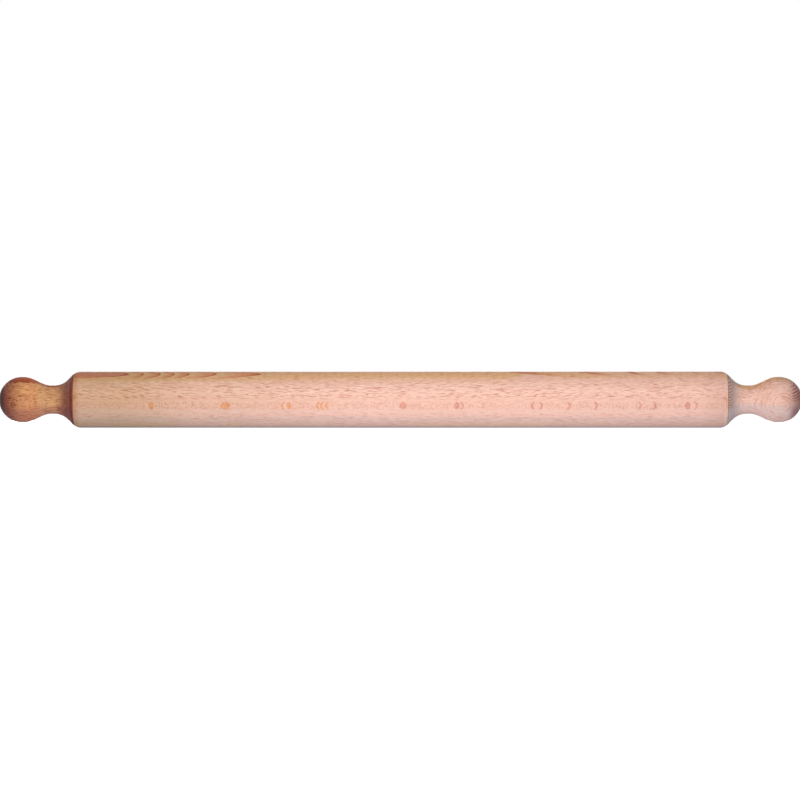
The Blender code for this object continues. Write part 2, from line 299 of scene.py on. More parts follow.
def place_in_log(graph):
    """Where a point of the wood lies in its log, and which way its surface faces there.

    In metres: along the pin; up from its axis; out from the pith, counted from the barrel's nearest line;
    front, towards the photograph's viewer; round the pith. grain holds along, round and out again, bent as
    the grain is. layer counts growth rings. faces_up, faces_pith and endwise are parts of the normal.
    """
    log = SimpleNamespace()
    from_axis = graph.vector("SUBTRACT", graph.own_place(), (0.0, 0.0, AXIS_HEIGHT))
    normal = graph.own_normal()
    log.up = graph.parts(from_axis)[2]
    log.faces_up = graph.parts(normal)[2]
    log.along, behind, towards_pith = graph.parts(graph.turn(from_axis, -PITH_TILT))
    log.endwise, faces_round, log.faces_pith = graph.parts(graph.turn(normal, -PITH_TILT))
    log.front = graph.times(behind, -1.0)

    to_pith = graph.minus(PITH_DISTANCE, towards_pith)
    squares = graph.times_plus(behind, behind, graph.times(to_pith, to_pith))
    log.out = graph.minus(graph.math("SQRT", squares), PITH_DISTANCE - BARREL_RADIUS)
    log.round = graph.times(graph.math("ARCTAN2", behind, to_pith), PITH_DISTANCE)

    # A ray stands square to the rings. This is 1 where it lies flat in the surface.
    leaning = BARREL_RADIUS / PITH_DISTANCE
    upright = math.sqrt(1 - leaning**2)
    leant = graph.times(log.faces_pith, leaning)
    log.faces_ray = graph.times_plus(graph.unsigned(faces_round), upright, leant)

    # The grain bows along the pin, and wanders in long waves and short ripples.
    slow = graph.wander(from_axis, *LONG_WAVES)
    quick = graph.wander(from_axis, *SHORT_RIPPLES)
    round_waves, out_waves, ring_waves = graph.parts(graph.vector("ADD", slow, quick))
    bow = graph.times(log.along, log.along, GRAIN_BOW)
    bent_round = graph.plus(graph.plus(log.round, bow), round_waves)
    log.grain = graph.join(log.along, bent_round, graph.plus(log.out, out_waves))

    lean = graph.ease(log.along, *LEANING_ALONG, 0.0, RIGHT_LEAN)
    thickness = graph.ease(log.along, *LEANING_ALONG, RING_THICKNESS, RIGHT_RING_THICKNESS)
    past_top = graph.times_plus(lean, 1 / (4 * TOP_FALL), log.front)
    ring_out = graph.times_plus(lean, past_top, graph.plus(log.out, ring_waves))
    log.layer = graph.minus(ring_lift(graph, log.along), graph.share_of(ring_out, thickness))
    return log


# Below, a range says where a change starts and where it is full. The change runs from 0 to 1 there, or
# between the last two numbers where the range has four. Most names end with what is measured: ALONG, OUT,
# FRONT and UP in metres, as place_in_log has them, FACING for a part of the normal, RING for a count of
# rings, SHARE for a place between one ring and the next, and NOISE for a noise's own value. LENGTHS are
# those over which a noise changes, along, round and out.

# The barrel's colours, as the photograph's light shows them
PINK = colour(244, 196, 177)
# Paler on the upper front: partly paler wood, partly painted light from above.
PALE_LIT_PINK = colour(253, 208, 189)
PALE_LIT_OUT = (0.0145, 0.0095)
MAUVE = colour(243, 203, 190)
MAUVE_OUT = (0.021, 0.025)
BLOTCH_LENGTHS = (0.05, 0.006, 0.006)
BLOTCH_REACH = 0.006

# The cooler strip low on the front: painted cool reflection and shade, which the back doesn't get.
# Its darkest line along the bottom edge is painted shade.
REFLECTION_LOW_FRONT = (0.002, 0.008)
REFLECTED_STRIP = colour(231, 201, 193)
REFLECTED_STRIP_OUT = (0.0285, 0.032)
OLIVE = colour(232, 203, 184)
OLIVE_OUT = (0.0345, 0.037)
OLIVE_NOISE = (0.45, 0.6)
REFLECTED_GREY_EDGE = colour(221, 209, 213)
REFLECTED_GREY_EDGE_OUT = (0.0392, 0.041)
LOWEST_SHADE = ratios(0.60, 0.50, 0.54)
LOWEST_OUT = (0.0410, 0.0422)
LOWEST_ALONG = (0.08, 0.17, 1.0, 0.25)

# The ochre along the top
OCHRE = colour(247, 195, 147)
LEFT_OCHRE = colour(248, 202, 158)
LEFT_OCHRE_ALONG = (-0.08, -0.13)
RIGHT_OCHRE = colour(250, 202, 167)
RIGHT_OCHRE_ALONG = (0.12, 0.19)
FAINT_OCHRE_OUT = (0.0045, 0.0015)
FAINT_OCHRE_ALONG = (0.07, 0.1, 0.45, 0.15)
OCHRE_FRONT = (0.0100, 0.0065)
OCHRE_LIFT_ALONG = (0.085, 0.095, 0.0, 0.0025)

# Which ring the ochre starts at, and at which it is full: up to the first flame on the right, and past it
OCHRE_START_ALONG = (0.083, 0.106, -0.25, 0.6)
OCHRE_FULL_ALONG = (0.083, 0.106, 0.15, 1.2)

# The darker tan towards the left end: partly the wood's own tan, partly painted shade where the light
# falls off towards that end
LEFT_TAN_AND_SHADE = ratios(0.76, 0.755, 0.60)
LOWER_TAN_AND_SHADE = ratios(0.76, 0.765, 0.66)
LOWER_TAN_OUT = (0.018, 0.0215)
TAN_ALONG = (-0.01, -0.19, 0.0, 0.42)
END_TAN_ALONG = (-0.15, -0.235, 0.0, 0.58)
TAN_BLOTCHES = 0.6

# Painted light and shade close to the barrel's ends, each with its range along: shade on the left
# rounded edge, which faces away from the light; a dark line of painted shade at the left joint; shade
# where the light falls off towards the right end; and a painted highlight on the right rounded edge
END_LIGHT_AND_SHADE = (
    (ratios(0.97, 0.82, 0.74), (-0.2575, -0.2630)),
    (ratios(0.52, 0.34, 0.33), (-0.2633, -0.2638)),
    (ratios(0.92, 0.89, 0.91), (0.238, 0.258)),
    (ratios(1.13, 1.18, 1.14), (0.2605, 0.2625)),
)

# The flames at the left, where the rings break out. The heart lies inside the last ring.
FLAME_RING = (0.97, 1.03)
LEFT_FLAMES_ALONG = (-0.08, -0.105)
LEFT_FLAME = ratios(0.93, 0.60, 0.56)
LEFT_FLAME_FRONT = (0.0074, 0.0050)
LEFT_FLAME_SHARE = (0.8, 0.15)
FIRST_FLAME = ratios(0.97, 1.0, 0.78)
FIRST_FLAME_ALONG = (-0.130, -0.115)
FLAME_HEART = ratios(0.88, 0.57, 0.68)
HEART_RING = (6.97, 7.03)
HEART_FRONT = (0.0062, 0.0046)
FLAME_RIM = ratios(0.62, 0.36, 0.27)
RIM_FRONT = (0.0056, 0.0036)
RIM_SHARE = (0.14, 0.04)

# The flames at the right
RIGHT_FLAMES_ALONG = (0.08, 0.0898)
RIGHT_FADE_ALONG = (0.19, 0.23, 1.0, 0.5)
RIGHT_FLAME = ratios(0.80, 0.43, 0.32)
RIGHT_FLAME_FRONT = (0.0034, -0.0012)
RIGHT_FLAME_SHARE = (0.36, 0.06)
FLAME_FOOT = ratios(0.97, 0.91, 0.86)
FOOT_FRONT = (0.0070, 0.0050)
FOOT_SHARE = (0.5, 0.05)


def add_painted_reflection_strip(graph, log, base, blotch, depth):
    """Painted cool reflection and shade in a strip low on the front. The back stays plain."""
    low = graph.ease(log.front, *REFLECTION_LOW_FRONT)
    base = graph.mix(graph.times(graph.ease(depth, *REFLECTED_STRIP_OUT), low), base, REFLECTED_STRIP)
    olive = graph.times(graph.ease(depth, *OLIVE_OUT), graph.ease(blotch, *OLIVE_NOISE), low)
    base = graph.mix(olive, base, OLIVE)
    base = graph.mix(graph.times(graph.ease(log.out, *REFLECTED_GREY_EDGE_OUT), low), base, REFLECTED_GREY_EDGE)
    lowest = graph.times(graph.ease(log.out, *LOWEST_OUT), graph.ease(log.along, *LOWEST_ALONG), low)
    return graph.tint(base, lowest, LOWEST_SHADE)


def add_ochre(graph, log, base):
    """Ochre lies along the top. Past the first flame on the right it stays higher and within the rings."""
    ochre = graph.mix(graph.ease(log.along, *LEFT_OCHRE_ALONG), OCHRE, LEFT_OCHRE)
    ochre = graph.mix(graph.ease(log.along, *RIGHT_OCHRE_ALONG), ochre, RIGHT_OCHRE)
    faint = graph.times(graph.ease(log.out, *FAINT_OCHRE_OUT), graph.ease(log.along, *FAINT_OCHRE_ALONG))
    base = graph.mix(faint, base, ochre)
    start = graph.ease(log.along, *OCHRE_START_ALONG)
    full = graph.ease(log.along, *OCHRE_FULL_ALONG)
    lifted = graph.plus(log.front, graph.ease(log.along, *OCHRE_LIFT_ALONG))
    band = graph.times(graph.ease(log.layer, start, full), graph.ease(lifted, *OCHRE_FRONT))
    return graph.mix(band, base, ochre)


def add_tan_and_shade(graph, log, base, drift):
    """The wood darkens towards the left end, more in some blotches than in others.

    Part of it is the wood's own tan and part is painted shade, where the light falls off towards that end.
    """
    tan = graph.plus(graph.ease(log.along, *TAN_ALONG), graph.ease(log.along, *END_TAN_ALONG))
    tan = graph.times(tan, graph.times_plus(drift, TAN_BLOTCHES, 1.0))
    return graph.tint(base, tan, graph.mix(graph.ease(log.out, *LOWER_TAN_OUT), LEFT_TAN_AND_SHADE, LOWER_TAN_AND_SHADE))


def add_flames(graph, log, base):
    """Inside each ring's crisp edge the flame is dark, and it fades towards the next ring."""
    inside = graph.ease(log.layer, *FLAME_RING)
    share = graph.fraction(log.layer)
    heart = graph.times(graph.ease(log.layer, *HEART_RING), graph.ease(log.front, *HEART_FRONT))
    left = graph.times(inside, graph.ease(log.along, *LEFT_FLAMES_ALONG))
    fill = graph.times(left, graph.ease(log.front, *LEFT_FLAME_FRONT))
    fill = graph.times(fill, graph.ease(share, *LEFT_FLAME_SHARE), graph.minus(1.0, heart))
    base = graph.tint(base, fill, LEFT_FLAME)
    base = graph.tint(base, graph.times(fill, graph.ease(log.along, *FIRST_FLAME_ALONG)), FIRST_FLAME)
    base = graph.tint(base, heart, FLAME_HEART)
    rim = graph.times(left, graph.ease(log.front, *RIM_FRONT), graph.ease(share, *RIM_SHARE))
    base = graph.tint(base, rim, FLAME_RIM)

    right = graph.times(inside, graph.ease(log.along, *RIGHT_FLAMES_ALONG))
    right = graph.times(right, graph.ease(log.along, *RIGHT_FADE_ALONG))
    fill = graph.times(graph.ease(log.front, *RIGHT_FLAME_FRONT), graph.ease(share, *RIGHT_FLAME_SHARE))
    base = graph.tint(base, graph.times(right, fill), RIGHT_FLAME)
    foot = graph.times(graph.ease(log.front, *FOOT_FRONT), graph.ease(share, *FOOT_SHARE))
    return graph.tint(base, graph.times(right, foot), FLAME_FOOT)


def paint_barrel(graph, log):
    """Pink wood, darker at the left, with ochre and flames along the top and a cooler strip below.

    The paler top and the darker left are partly painted light and shade; the strip is painted reflection
    and shade.
    """
    blotch = graph.noise(log.grain, BLOTCH_LENGTHS)
    drift = graph.minus(blotch, 0.5)
    depth = graph.times_plus(drift, BLOTCH_REACH, log.out)
    # Paler on the upper front, partly with painted light from above.
    base = graph.mix(graph.ease(log.out, *PALE_LIT_OUT), PINK, PALE_LIT_PINK)
    base = graph.mix(graph.ease(depth, *MAUVE_OUT), base, MAUVE)
    base = add_painted_reflection_strip(graph, log, base, blotch, depth)
    base = add_ochre(graph, log, base)
    base = add_tan_and_shade(graph, log, base, drift)
    # Painted light and shade near the barrel's ends.
    for tint, along in END_LIGHT_AND_SHADE:
        base = graph.tint(base, graph.ease(log.along, *along), tint)
    return add_flames(graph, log, base)


# How thick the rings are in the knobs' end grain, how they wave, and where their dark edges lie
END_RING_THICKNESS = 0.0020
END_RING_LENGTHS = (0.02, 0.004, 0.004)
END_RING_WAVES = 0.9
END_RING_SHARE = (0.62, 0.22)

# The left knob's face, paler above partly with painted light from above, and its neck and underside
KNOB_ORANGE = colour(223, 159, 110)
PALE_LIT_ORANGE = colour(235, 173, 118)
PALE_LIT_ORANGE_UP = (0.001, 0.006)
NECK_ORANGE = colour(225, 174, 123)
NECK_ALONG = (-0.296, -0.289)
UNDERSIDE = ratios(0.78, 0.71, 0.94)
UNDERSIDE_OUT = (0.0205, 0.0275)

# The wedge along its top, where the surface faces up by more than a limit that changes along the pin
WEDGE_BROWN = colour(204, 101, 50)
WEDGE_LIMIT_ALONG = (-0.298, -0.288, 0.74, 0.85)
WEDGE_LENGTHS = (0.007, 0.0012, 0.0012)
WEDGE_WAVES = 0.3
WEDGE_FACING = (-0.02, 0.05)
WEDGE_RIM = ratios(0.62, 0.5, 0.46)
WEDGE_RIM_FACING = (-0.01, 0.03)
WEDGE_RIM_END_FACING = (0.10, 0.05)
CROWN_FACING = (0.93, 0.985)

# Its darker end grain, with painted shade where it faces away from the light. FACING is here the part of
# the normal along the pin.
LEFT_BALL_ALONG = (-0.290, -0.296)
FLARE_BROWN_AND_SHADE = ratios(0.44, 0.28, 0.41)
FLARE_BROWN_AND_SHADE_FACING = (0.0, -0.71)
BALL_BROWN_AND_SHADE = ratios(0.42, 0.25, 0.34)
BALL_BROWN_AND_SHADE_FACING = (0.2, -0.8)
TIP_BROWN_AND_SHADE = ratios(0.2, 0.12, 0.13)
TIP_BROWN_AND_SHADE_FACING = (-0.64, -0.84)
TIP_STROKE = ratios(0.62, 0.5, 0.52)
TIP_STROKE_FACING = (-0.35, -0.7)
# A dark stripe on the knob at the seam: painted shade of the joint.
SEAM_SHADE_STRIPE = ratios(0.6, 0.36, 0.36)
SEAM_SHADE_STRIPE_ALONG = (-0.2670, -0.2660)

# Dark specks and a small swirl on its face: how far along and how high each is
SPECKS = ((-0.3153, 0.0012), (-0.3119, -0.0003), (-0.3090, -0.0008), (-0.3060, -0.0003))
SPECK_RADII = (0.0008, 0.00048)
SWIRL = (-0.3124, -0.0043)
SWIRL_RADIUS = 0.0015
SWIRL_LINE = (0.0013, 0.0003, 0.0, 0.6)
SPECK_BROWN = ratios(0.5, 0.33, 0.27)
SPECKS_FRONT = (0.0, 0.002)


def end_rings(graph, log):
    """1 on the dark edges of the growth rings, as end grain shows them."""
    waves = graph.waves(log.grain, END_RING_LENGTHS, detail=1.0)
    rings = graph.times_plus(waves, END_RING_WAVES, graph.share_of(log.out, END_RING_THICKNESS))
    return graph.ease(graph.fraction(rings), *END_RING_SHARE)


def off_spot(graph, log, spot):
    """How far a point of the surface is from a spot, seen from the front."""
    beside = graph.minus(log.along, spot[0])
    above = graph.minus(log.up, spot[1])
    return graph.vector("LENGTH", graph.join(beside, above, 0.0))


def past_limit(graph, log, limit_along, lengths, waviness):
    """By how much the surface faces up more than a limit that changes along the pin, with a wavy edge."""
    limit = graph.ease(log.along, *limit_along)
    waves = graph.waves(log.grain, lengths)
    return graph.times_plus(waves, waviness, graph.minus(log.faces_up, limit))


def paint_left_knob(graph, log):
    """Orange wood, redder below and in the end grain, with a red-brown wedge along the top.

    Its paler top is partly painted light from above, and painted shade darkens the end grain and the seam.
    """
    # Paler above, partly with painted light from above.
    face = graph.mix(graph.ease(log.up, *PALE_LIT_ORANGE_UP), KNOB_ORANGE, PALE_LIT_ORANGE)
    base = graph.mix(graph.ease(log.along, *NECK_ALONG), face, NECK_ORANGE)
    base = graph.tint(base, graph.ease(log.out, *UNDERSIDE_OUT), UNDERSIDE)
    above = past_limit(graph, log, WEDGE_LIMIT_ALONG, WEDGE_LENGTHS, WEDGE_WAVES)
    base = graph.mix(graph.ease(above, *WEDGE_FACING), base, WEDGE_BROWN)
    rim = graph.times(graph.ease(above, *WEDGE_RIM_FACING), graph.ease(above, *WEDGE_RIM_END_FACING))
    rim = graph.larger(rim, graph.ease(log.faces_up, *CROWN_FACING))
    base = graph.tint(base, rim, WEDGE_RIM)

    # The end grain is darker, and painted shade darkens it further where it faces away from the light: on
    # the flare, and on the ball towards its tip.
    on_ball = graph.ease(log.along, *LEFT_BALL_ALONG)
    on_flare = graph.minus(1.0, on_ball)
    for part, facing, brown in (
        (on_flare, FLARE_BROWN_AND_SHADE_FACING, FLARE_BROWN_AND_SHADE),
        (on_ball, BALL_BROWN_AND_SHADE_FACING, BALL_BROWN_AND_SHADE),
        (on_ball, TIP_BROWN_AND_SHADE_FACING, TIP_BROWN_AND_SHADE),
    ):
        base = graph.tint(base, graph.times(graph.ease(log.endwise, *facing), part), brown)
    strokes = graph.times(end_rings(graph, log), graph.ease(log.endwise, *TIP_STROKE_FACING), on_ball)
    base = graph.tint(base, strokes, TIP_STROKE)
    # Painted shade of the joint, next to the seam.
    base = graph.tint(base, graph.ease(log.along, *SEAM_SHADE_STRIPE_ALONG), SEAM_SHADE_STRIPE)

    from_swirl = graph.minus(off_spot(graph, log, SWIRL), SWIRL_RADIUS)
    marks = graph.ease(graph.unsigned(from_swirl), *SWIRL_LINE)
    for spot in SPECKS:
        marks = graph.larger(marks, graph.ease(off_spot(graph, log, spot), *SPECK_RADII))
    return graph.tint(base, graph.times(marks, graph.ease(log.front, *SPECKS_FRONT)), SPECK_BROWN)


# The right knob's face, paler above partly with painted light from above, its ochre top, and its
# underside, greyer with painted cool shade
KNOB_TAN = colour(246, 201, 184)
KNOB_PALE_LIT = colour(250, 207, 190)
KNOB_PALE_LIT_FACING = (0.15, 0.45)
KNOB_OCHRE = colour(236, 186, 140)
KNOB_OCHRE_LIMIT_ALONG = (0.285, 0.297, 0.64, 0.75)
KNOB_OCHRE_LENGTHS = (0.01, 0.002, 0.002)
KNOB_OCHRE_WAVES = 0.25
KNOB_OCHRE_FACING = (0.0, 0.15)
# Greyer where it faces down: painted cool shade.
SHADED_GREY_UNDERSIDE = ratios(0.88, 1.02, 1.17)
SHADED_GREY_UNDERSIDE_FACING = (-0.1, -0.4)

# Its end grain, darker as end grain is and with painted shade. FACING is here the part of the normal
# along the pin.
RIGHT_BALL_ALONG = (0.300, 0.302)
END_GRAIN_AND_SHADE_FACING = (0.2, 0.9)
FLARE_GRAIN_AND_SHADE = ratios(0.62, 0.78, 0.90)
BALL_GRAIN_AND_SHADE = ratios(0.50, 0.40, 0.42)
BALL_TIP_AND_SHADE = ratios(0.8, 0.68, 0.7)
BALL_TIP_AND_SHADE_FACING = (0.78, 0.95)
FLARE_STROKE = ratios(0.62, 0.41, 0.37)
FLARE_STROKE_ALONG = (0.2720, 0.2655)
FLARE_STROKE_OUT = (0.026, 0.022)
RED_STROKE = ratios(0.55, 0.3, 0.32)
RED_STROKE_FACING = (0.40, 0.62)
RED_STROKE_UP = (-0.004, 0.002)
PURPLE_SHADE = ratios(0.74, 0.6, 0.66)
PURPLE_SHADE_FACING = (0.35, 0.65)
PURPLE_SHADE_UP = (-0.003, -0.010)

# Orange streaks on its swell, above the neck
ORANGE_STREAK = ratios(0.85, 0.66, 0.52)
ORANGE_STREAK_LENGTHS = (0.005, 0.0009, 0.0009)
ORANGE_STREAK_NOISE = (0.48, 0.56)
SWELL_FACING = (-0.12, -0.4)
SWELL_TOP_FACING = (0.3, 0.55)


def paint_right_knob(graph, log):
    """Pinkish tan wood, ochre on top and greyer below, with the rings' edges dark in the end grain.

    Its paler top is partly painted light from above, its greyer underside is painted cool shade, and
    painted shade darkens the end grain.
    """
    # Paler where it faces up, partly with painted light from above.
    base = graph.mix(graph.ease(log.faces_up, *KNOB_PALE_LIT_FACING), KNOB_TAN, KNOB_PALE_LIT)
    above = past_limit(graph, log, KNOB_OCHRE_LIMIT_ALONG, KNOB_OCHRE_LENGTHS, KNOB_OCHRE_WAVES)
    base = graph.mix(graph.ease(above, *KNOB_OCHRE_FACING), base, KNOB_OCHRE)
    # Painted cool shade where it faces down.
    base = graph.tint(base, graph.ease(log.faces_up, *SHADED_GREY_UNDERSIDE_FACING), SHADED_GREY_UNDERSIDE)
    on_ball = graph.ease(log.along, *RIGHT_BALL_ALONG)
    on_flare = graph.minus(1.0, on_ball)
    # The end grain is darker, and painted shade darkens it further: on the flare, and on the ball towards
    # its tip.
    end_grain_and_shade = graph.ease(log.endwise, *END_GRAIN_AND_SHADE_FACING)
    base = graph.tint(base, graph.times(end_grain_and_shade, on_flare), FLARE_GRAIN_AND_SHADE)
    base = graph.tint(base, graph.times(end_grain_and_shade, on_ball), BALL_GRAIN_AND_SHADE)
    base = graph.tint(base, graph.times(on_ball, graph.ease(log.endwise, *BALL_TIP_AND_SHADE_FACING)), BALL_TIP_AND_SHADE)

    # Ring edges show dark where the wood is cut across: on the flare's front, and above the ball's tip.
    rings = end_rings(graph, log)
    strokes = graph.times(rings, graph.ease(log.along, *FLARE_STROKE_ALONG))
    strokes = graph.times(strokes, graph.ease(log.out, *FLARE_STROKE_OUT))
    base = graph.tint(base, strokes, FLARE_STROKE)
    strokes = graph.times(rings, graph.ease(log.endwise, *RED_STROKE_FACING), on_ball)
    strokes = graph.times(strokes, graph.ease(log.up, *RED_STROKE_UP))
    base = graph.tint(base, strokes, RED_STROKE)
    # Painted purple shade low on the ball's end.
    below = graph.times(on_ball, graph.ease(log.endwise, *PURPLE_SHADE_FACING))
    below = graph.times(below, graph.ease(log.up, *PURPLE_SHADE_UP))
    base = graph.tint(base, below, PURPLE_SHADE)

    streaks = graph.noise(log.grain, ORANGE_STREAK_LENGTHS, detail=1.0)
    streaks = graph.ease(streaks, *ORANGE_STREAK_NOISE)
    streaks = graph.times(streaks, graph.ease(log.endwise, *SWELL_FACING))
    streaks = graph.times(streaks, graph.ease(log.faces_up, *SWELL_TOP_FACING))
    return graph.tint(base, streaks, ORANGE_STREAK)


# The broad rays in the band below the middle: where each is along the pin, and its half length. Those in
# the other two lists show only an edge, curved like an opening or a closing bracket.
RAY_DISCS = (
    (-0.2003, 0.0024),
    (-0.1406, 0.0040),
    (-0.0890, 0.0018),
    (0.0028, 0.0030),
    (0.0462, 0.0022),
    (0.2319, 0.0022),
)
OPENING_RAYS = (-0.0955, -0.0673, -0.0641, -0.0600, 0.1058)
CLOSING_RAYS = (0.0519, 0.1154, 0.1379, 0.1596, 0.1950, 0.2070, 0.2400)
BROAD_RAYS_FRONT = (0.0, 0.004)

# How deep each kind is, counted from the middle of the band, and where its edges lie
DISC_DEPTH = 0.00024
DISC_EDGE = (1.05, 0.75)
BRACKET_DEPTHS = (0.00028, 0.000224)
BRACKET_SLOPE = 0.13
BRACKET_OUTSIDE = (-0.0003, 0.0001)
BRACKET_INSIDE = (0.0026, 0.0008)
DOT_DEPTHS = (0.0004, 0.00004)
DOT_LENGTHS = (0.0011, 0.006, 0.0015)
DOT_NOISE = (0.54, 0.66)

# Broad rays are orange at the left and pink at the right. Between them are paler dots.
ORANGE_RAY = ratios(0.97, 0.74, 0.51)
PINK_RAY = ratios(0.88, 0.68, 0.68)
PINK_RAY_ALONG = (-0.06, 0.02)
RAY_DOT = ratios(0.84, 0.79, 0.79)


def broad_rays(graph, log):
    """1 on the broad rays that lie flat in the barrel's surface, and 1 on the dots between them."""
    depth = graph.minus(BAND_ROUND, graph.unsigned(log.round))
    marks = 0.0
    for x, half_length in RAY_DISCS:
        beside = graph.share_of(graph.minus(log.along, x), half_length)
        reach = graph.times_plus(beside, beside, graph.share_of(depth, DISC_DEPTH))
        marks = graph.larger(marks, graph.ease(reach, *DISC_EDGE))
    shallow = graph.ease(depth, *BRACKET_DEPTHS)
    for places, side in ((OPENING_RAYS, 1.0), (CLOSING_RAYS, -1.0)):
        for x in places:
            beside = graph.times(graph.minus(log.along, x), side)
            inward = graph.times_plus(depth, -1 / BRACKET_SLOPE, beside)
            crescent = graph.times(shallow, graph.ease(inward, *BRACKET_OUTSIDE))
            crescent = graph.times(crescent, graph.ease(inward, *BRACKET_INSIDE))
            marks = graph.larger(marks, crescent)
    marks = graph.times(marks, graph.ease(log.front, *BROAD_RAYS_FRONT))

    # Between them, and behind, smaller rays show as faint dots.
    dots = graph.ease(graph.noise(log.grain, DOT_LENGTHS, detail=0.0), *DOT_NOISE)
    return marks, graph.times(dots, graph.ease(depth, *DOT_DEPTHS))


# Pale and dark fibres, and brown streaks
DARK_FIBRE = ratios(0.955, 0.94, 0.93)
PALE_FIBRE = ratios(1.045, 1.07, 1.08)
FIBRE_LENGTHS = (0.0035, 0.00045, 0.00045)
LINE_LENGTHS = (0.009, 0.0014, 0.0007)
FIBRE_ROUGHNESS = 0.6
FIBRE_STRENGTH = 0.5
FIBRE_NOISE = (0.5, 1.0)
BROWN_STREAK = ratios(0.72, 0.56, 0.48)
BROWN_LENGTHS = (0.008, 0.0022, 0.0006)
BROWN_NOISE = (0.51, 0.60)

# The rays that show as dashes. They are fainter low on the pin, and hardly show in end grain.
DARK_RAY = ratios(0.71, 0.49, 0.44)
BOLD_LENGTHS = (0.0062, 0.00032, 0.014)
BOLD_NOISE = (0.59, 0.69)
FAINT_LENGTHS = (0.0045, 0.00022, 0.010)
FAINT_NOISE = (0.55, 0.70)
FAINT_SHIFT = (0.4, 0.1, 0.2)
FAINT_STRENGTH = 0.6
FLAT_RAY_FACING = (0.94, 0.99)
FLAT_RAY_LOSS = 0.85
LOW_RAY_OUT = (0.020, 0.026, 1.0, 0.45)
END_RAY_FACING = (0.3, 0.6, 1.0, 0.3)

# The surface: how rough it is over the fibres, and how high the tool's marks and the rays stand in it
WOOD_ROUGHNESS = (0.4, 1.1, 0.52, 0.66)
WOOD_SPECULAR = 0.25
TOOL_MARK_LENGTHS = (0.0009, 1.0, 1.0)
TOOL_MARK_HEIGHT = 0.5
RAY_HEIGHT = -0.4
WOOD_BUMP = (0.25, 0.0001)


def ray_dashes(graph, log):
    """1 on the fine dashes that rays show as, where they stand in the surface and don't lie flat."""
    bold = graph.ease(graph.noise(log.grain, BOLD_LENGTHS, detail=0.0), *BOLD_NOISE)
    shifted = graph.vector("ADD", log.grain, FAINT_SHIFT)
    faint = graph.ease(graph.noise(shifted, FAINT_LENGTHS, detail=0.0), *FAINT_NOISE)
    rays = graph.larger(bold, graph.times(faint, FAINT_STRENGTH))
    flat = graph.ease(log.faces_ray, *FLAT_RAY_FACING)
    rays = graph.times(rays, graph.times_plus(flat, -FLAT_RAY_LOSS, 1.0))
    rays = graph.times(rays, graph.ease(log.out, *LOW_RAY_OUT))
    return graph.times(rays, graph.ease(graph.unsigned(log.endwise), *END_RAY_FACING))


def beech(name, paint, streaking, broad=False):
    """Steamed beech, turned and sanded, in the colours that paint gives it.

    streaking says how brown its streaks are. broad adds the broad rays and the dots between them.
    """
    material, graph, shader = new_material(name)
    log = place_in_log(graph)
    base = paint(graph, log)

    lines = graph.noise(log.grain, LINE_LENGTHS, roughness=FIBRE_ROUGHNESS)
    fibres = graph.noise(log.grain, FIBRE_LENGTHS, roughness=FIBRE_ROUGHNESS)
    streaks = graph.times_plus(fibres, FIBRE_STRENGTH, lines)
    fibre_tint = graph.mix(graph.ease(streaks, *FIBRE_NOISE), DARK_FIBRE, PALE_FIBRE)
    base = graph.tint(base, 1.0, fibre_tint)
    brown = graph.noise(log.grain, BROWN_LENGTHS, detail=1.0)
    base = graph.tint(base, graph.ease(brown, *BROWN_NOISE, 0.0, streaking), BROWN_STREAK)
    rays = ray_dashes(graph, log)
    base = graph.tint(base, rays, DARK_RAY)
    if broad:
        ray_tint = graph.mix(graph.ease(log.along, *PINK_RAY_ALONG), ORANGE_RAY, PINK_RAY)
        marks, dots = broad_rays(graph, log)
        base = graph.tint(base, marks, ray_tint)
        base = graph.tint(base, dots, RAY_DOT)

    tool_marks = graph.noise(log.grain, TOOL_MARK_LENGTHS)
    height = graph.times_plus(tool_marks, TOOL_MARK_HEIGHT, streaks)
    height = graph.times_plus(rays, RAY_HEIGHT, height)
    shader.inputs["Base Color"].default_value = PINK
    shader.inputs["Specular IOR Level"].default_value = WOOD_SPECULAR
    roughness = graph.ease(streaks, *WOOD_ROUGHNESS)
    set_surface(graph, shader, base, roughness, graph.bump(height, *WOOD_BUMP))
    return material


def turned(name, outline, material, side=1):
    """Turned wood from (x, radius) points at the right end. A side of -1 puts it at the left end."""
    bm = bmesh.new()
    rings = []
    angles = [2 * math.pi * step / SIDES for step in range(SIDES)]
    for x, radius in outline:
        if radius == 0:
            rings.append([bm.verts.new((side * x, 0, AXIS_HEIGHT))])
            continue
        ring = [(side * x, radius * math.cos(a), AXIS_HEIGHT + radius * math.sin(a)) for a in angles]
        rings.append([bm.verts.new(point) for point in ring])
    pairs = list(zip(rings, rings[1:]))
    if outline[0][1] > 0:
        pairs.append((rings[-1], rings[0]))
    for first, second in pairs:
        for step in range(SIDES):
            after = (step + 1) % SIDES
            if len(first) == 1:
                bm.faces.new((first[0], second[step], second[after]))
            elif len(second) == 1:
                bm.faces.new((first[after], first[step], second[0]))
            else:
                bm.faces.new((first[after], first[step], second[step], second[after]))
    bmesh.ops.recalc_face_normals(bm, faces=bm.faces[:])
    mesh = bpy.data.meshes.new(name)
    bm.to_mesh(mesh)
    bm.free()
    mesh.shade_smooth()
    mesh.set_sharp_from_angle(angle=SHARP_ANGLE)
    mesh.materials.append(material)
    obj = bpy.data.objects.new(name, mesh)
    bpy.context.scene.collection.objects.link(obj)
    return obj


